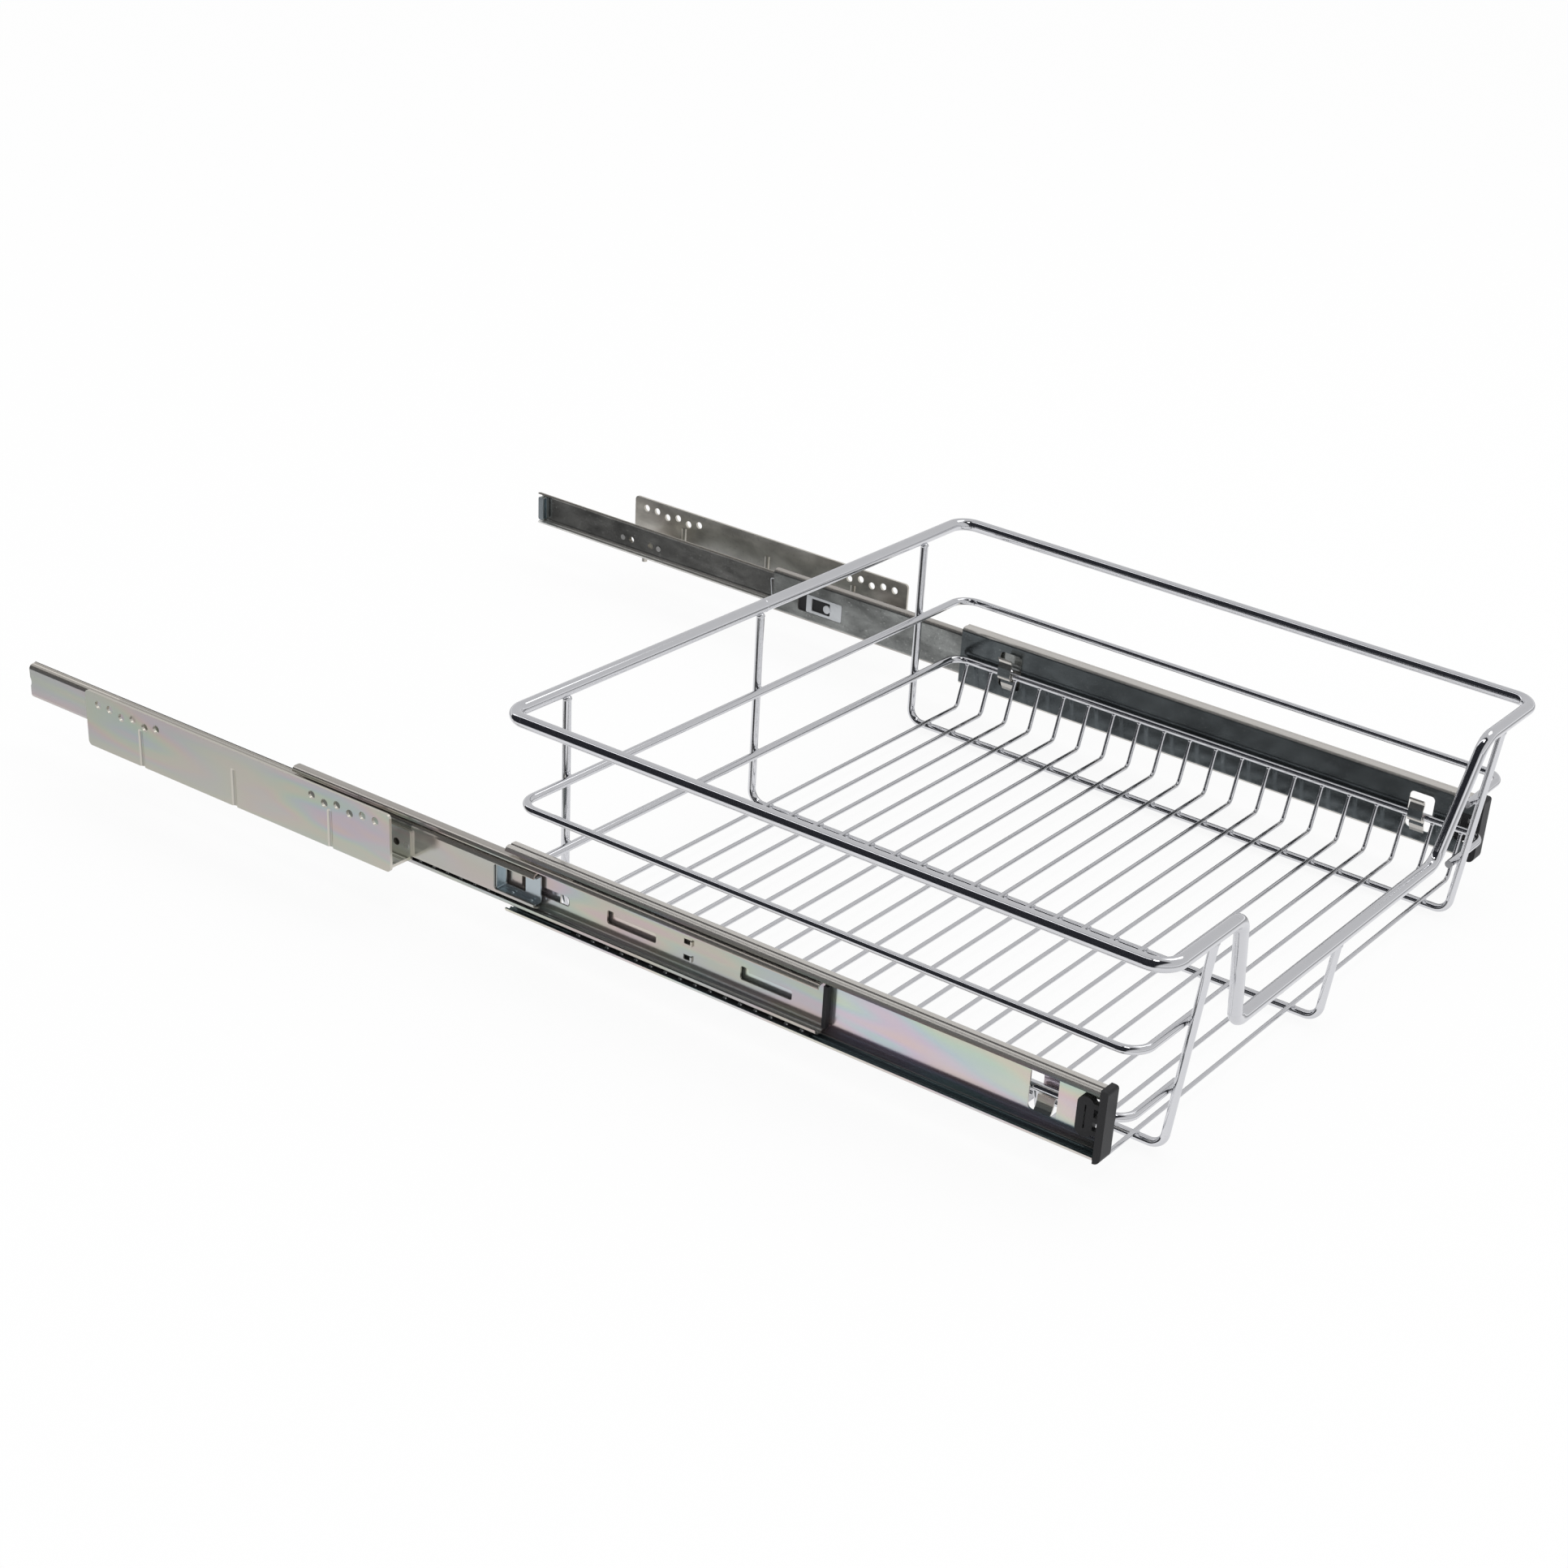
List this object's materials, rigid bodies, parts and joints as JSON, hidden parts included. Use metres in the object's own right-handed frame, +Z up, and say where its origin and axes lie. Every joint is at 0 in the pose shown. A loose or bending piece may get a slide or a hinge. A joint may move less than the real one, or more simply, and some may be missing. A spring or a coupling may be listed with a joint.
{
  "type": "pull-out cabinet basket",
  "caption": "Pull-out wire basket for a kitchen cabinet on telescopic ball runners, drawn fully out, with zinc mounting brackets and a low dip in the front of its rim",
  "frame": {"origin": "middle of the width and of the drawn-out length, level with the underside of the basket's floor frames", "axes": "+X right seen from the front, +Y into the cabinet, so the basket is pulled out along -Y, +Z up"},
  "size_m": [0.5642, 0.8835, 0.1497],
  "materials": {
    "zinc_steel": "zinc-plated steel sheet with faint rainbow colours, satin",
    "blue_zinc": "blue zinc plate, satin",
    "rivet_steel": "zinc-plated, satin",
    "latch_steel": "spring steel, bright",
    "steel_balls": "polished bearing steel",
    "chrome_wire": "bright chrome plate on steel wire",
    "black_plastic": "moulded black plastic"
  },
  "bodies": {
    "cabinet_side": {"left_bracket": "zinc_steel", "left_bracket_rivets": "rivet_steel", "left_cabinet_rail": "zinc_steel", "left_front_stop": "blue_zinc", "left_rear_stop": "blue_zinc", "right_bracket": "zinc_steel", "right_bracket_rivets": "rivet_steel", "right_cabinet_rail": "zinc_steel", "right_front_stop": "blue_zinc", "right_rear_stop": "blue_zinc"},
    "basket": {"top_rim": "chrome_wire", "middle_ring": "chrome_wire", "lower_ring": "chrome_wire", "left_frame": "chrome_wire", "centre_frame": "chrome_wire", "right_frame": "chrome_wire", "floor_wire_1": "chrome_wire", "floor_wire_2": "chrome_wire", "floor_wire_3": "chrome_wire", "floor_wire_4": "chrome_wire", "floor_wire_5": "chrome_wire", "floor_wire_6": "chrome_wire", "floor_wire_7": "chrome_wire", "floor_wire_8": "chrome_wire", "floor_wire_9": "chrome_wire", "floor_wire_10": "chrome_wire", "floor_wire_11": "chrome_wire", "floor_wire_12": "chrome_wire", "floor_wire_13": "chrome_wire", "floor_wire_14": "chrome_wire", "floor_wire_15": "chrome_wire", "floor_wire_16": "chrome_wire", "floor_wire_17": "chrome_wire", "floor_wire_18": "chrome_wire", "floor_wire_19": "chrome_wire", "floor_wire_20": "chrome_wire", "left_drawer_rail": "zinc_steel", "left_end_cap": "black_plastic", "right_drawer_rail": "zinc_steel", "right_end_cap": "black_plastic"},
    "left_middle": {"left_middle_rail": "zinc_steel", "left_middle_bumper": "black_plastic", "left_latch_block": "black_plastic", "left_latch_plate": "latch_steel", "left_latch_spring": "latch_steel"},
    "left_inner_bearing": {"left_inner_cage": "black_plastic", "left_inner_balls": "steel_balls"},
    "left_outer_bearing": {"left_outer_cage": "black_plastic", "left_outer_balls": "steel_balls"},
    "right_middle": {"right_middle_rail": "zinc_steel", "right_middle_bumper": "black_plastic", "right_latch_block": "black_plastic", "right_latch_plate": "latch_steel", "right_latch_spring": "latch_steel"},
    "right_inner_bearing": {"right_inner_cage": "black_plastic", "right_inner_balls": "steel_balls"},
    "right_outer_bearing": {"right_outer_cage": "black_plastic", "right_outer_balls": "steel_balls"}
  },
  "joints": [
    {"name": "basket_slide", "type": "slide", "parent": "cabinet_side", "child": "basket", "axis": [0, 1, 0], "range_m": [0, 0.402]},
    {"name": "left_middle_slide", "type": "slide", "parent": "cabinet_side", "child": "left_middle", "axis": [0, 1, 0], "range_m": [0, 0.233]},
    {"name": "left_inner_bearing_slide", "type": "slide", "parent": "cabinet_side", "child": "left_inner_bearing", "axis": [0, 1, 0], "range_m": [0, 0.1166]},
    {"name": "left_outer_bearing_slide", "type": "slide", "parent": "cabinet_side", "child": "left_outer_bearing", "axis": [0, 1, 0], "range_m": [0, 0.3176]},
    {"name": "right_middle_slide", "type": "slide", "parent": "cabinet_side", "child": "right_middle", "axis": [0, 1, 0], "range_m": [0, 0.233]},
    {"name": "right_inner_bearing_slide", "type": "slide", "parent": "cabinet_side", "child": "right_inner_bearing", "axis": [0, 1, 0], "range_m": [0, 0.1166]},
    {"name": "right_outer_bearing_slide", "type": "slide", "parent": "cabinet_side", "child": "right_outer_bearing", "axis": [0, 1, 0], "range_m": [0, 0.3176]}
  ],
  "couplings": [
    {"joint": "left_middle_slide", "follows": "basket_slide", "ratio": 0.579},
    {"joint": "left_inner_bearing_slide", "follows": "basket_slide", "ratio": 0.2895},
    {"joint": "left_outer_bearing_slide", "follows": "basket_slide", "ratio": 0.7895},
    {"joint": "right_middle_slide", "follows": "basket_slide", "ratio": 0.579},
    {"joint": "right_inner_bearing_slide", "follows": "basket_slide", "ratio": 0.2895},
    {"joint": "right_outer_bearing_slide", "follows": "basket_slide", "ratio": 0.7895}
  ]
}
